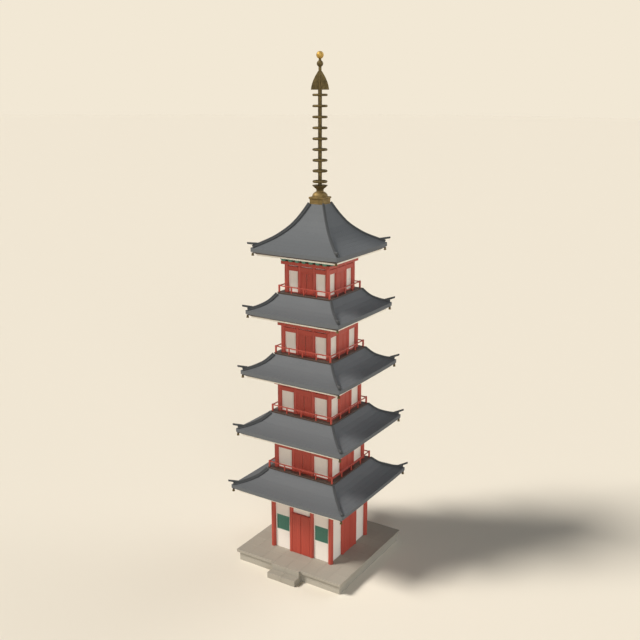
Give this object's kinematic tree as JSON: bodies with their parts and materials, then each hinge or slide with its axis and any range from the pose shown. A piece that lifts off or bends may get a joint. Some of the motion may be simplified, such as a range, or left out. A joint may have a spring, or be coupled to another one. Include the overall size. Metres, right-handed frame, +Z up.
{
  "type": "five-storied pagoda",
  "caption": "Square timber pagoda with stacked tiled roofs, balconies, plaster walls, opening ground-storey doors and a ringed bronze spire on a stone platform.",
  "frame": {"origin": "on the tower's vertical axis at ground level, in the underside of the stone platform", "axes": "+Z up, -Y towards the steps and the main doors, +X towards the other doors that open"},
  "size_m": [9.5636, 9.9318, 35.65],
  "materials": {
    "stone": "dressed grey-brown stone",
    "pale_stone": "pale dressed stone",
    "vermilion": "timber painted vermilion",
    "plaster": "lime plaster",
    "green_paint": "timber painted green",
    "brown_wood": "dark stained timber",
    "cream_board": "timber painted cream",
    "grey_tile": "fired grey clay tile",
    "bronze": "aged bronze",
    "gold": "gilded bronze"
  },
  "bodies": {
    "tower": {"platform_base": "pale_stone", "platform_coping": "stone", "front_steps": "stone", "ground_frame": "vermilion", "back_doors": "vermilion", "left_doors": "vermilion", "ground_wall_band": "plaster", "front_wall_left": "plaster", "front_wall_right": "plaster", "right_wall_front": "plaster", "right_wall_back": "plaster", "back_wall_right": "plaster", "back_wall_left": "plaster", "left_wall_back": "plaster", "left_wall_front": "plaster", "front_window_left": "green_paint", "front_window_right": "green_paint", "back_window_left": "green_paint", "back_window_right": "green_paint", "balcony_2_floor": "brown_wood", "balcony_2_rail": "vermilion", "storey_2_frame": "vermilion", "storey_2_walls": "plaster", "balcony_3_floor": "brown_wood", "balcony_3_rail": "vermilion", "storey_3_frame": "vermilion", "storey_3_walls": "plaster", "balcony_4_floor": "brown_wood", "balcony_4_rail": "vermilion", "storey_4_frame": "vermilion", "storey_4_walls": "plaster", "balcony_5_floor": "brown_wood", "balcony_5_rail": "vermilion", "storey_5_frame": "vermilion", "storey_5_walls": "plaster", "eave_board_1": "cream_board", "roof_1": "grey_tile", "eave_board_2": "cream_board", "roof_2": "grey_tile", "eave_board_3": "cream_board", "roof_3": "grey_tile", "eave_board_4": "cream_board", "roof_4": "grey_tile", "eave_board_5": "cream_board", "roof_5": "grey_tile", "spire_base_box": "bronze", "spire_dome": "bronze", "spire_lotus": "bronze", "spire_mast": "bronze", "spire_flame": "bronze", "spire_jewels": "gold"},
    "front_door_left": {"front_door_left": "vermilion"},
    "front_door_right": {"front_door_right": "vermilion"},
    "right_door_front": {"right_door_front": "vermilion"},
    "right_door_back": {"right_door_back": "vermilion"}
  },
  "joints": [
    {"name": "front_door_left_hinge", "type": "hinge", "parent": "tower", "child": "front_door_left", "pos_m": [-0.6792, -2.54, 2.45], "axis": [0, 0, -1], "range_deg": [0, 100]},
    {"name": "front_door_right_hinge", "type": "hinge", "parent": "tower", "child": "front_door_right", "pos_m": [0.6792, -2.54, 2.45], "axis": [0, 0, 1], "range_deg": [0, 100]},
    {"name": "right_door_front_hinge", "type": "hinge", "parent": "tower", "child": "right_door_front", "pos_m": [2.54, -0.6792, 2.45], "axis": [0, 0, -1], "range_deg": [0, 100]},
    {"name": "right_door_back_hinge", "type": "hinge", "parent": "tower", "child": "right_door_back", "pos_m": [2.54, 0.6792, 2.45], "axis": [0, 0, 1], "range_deg": [0, 100]}
  ]
}
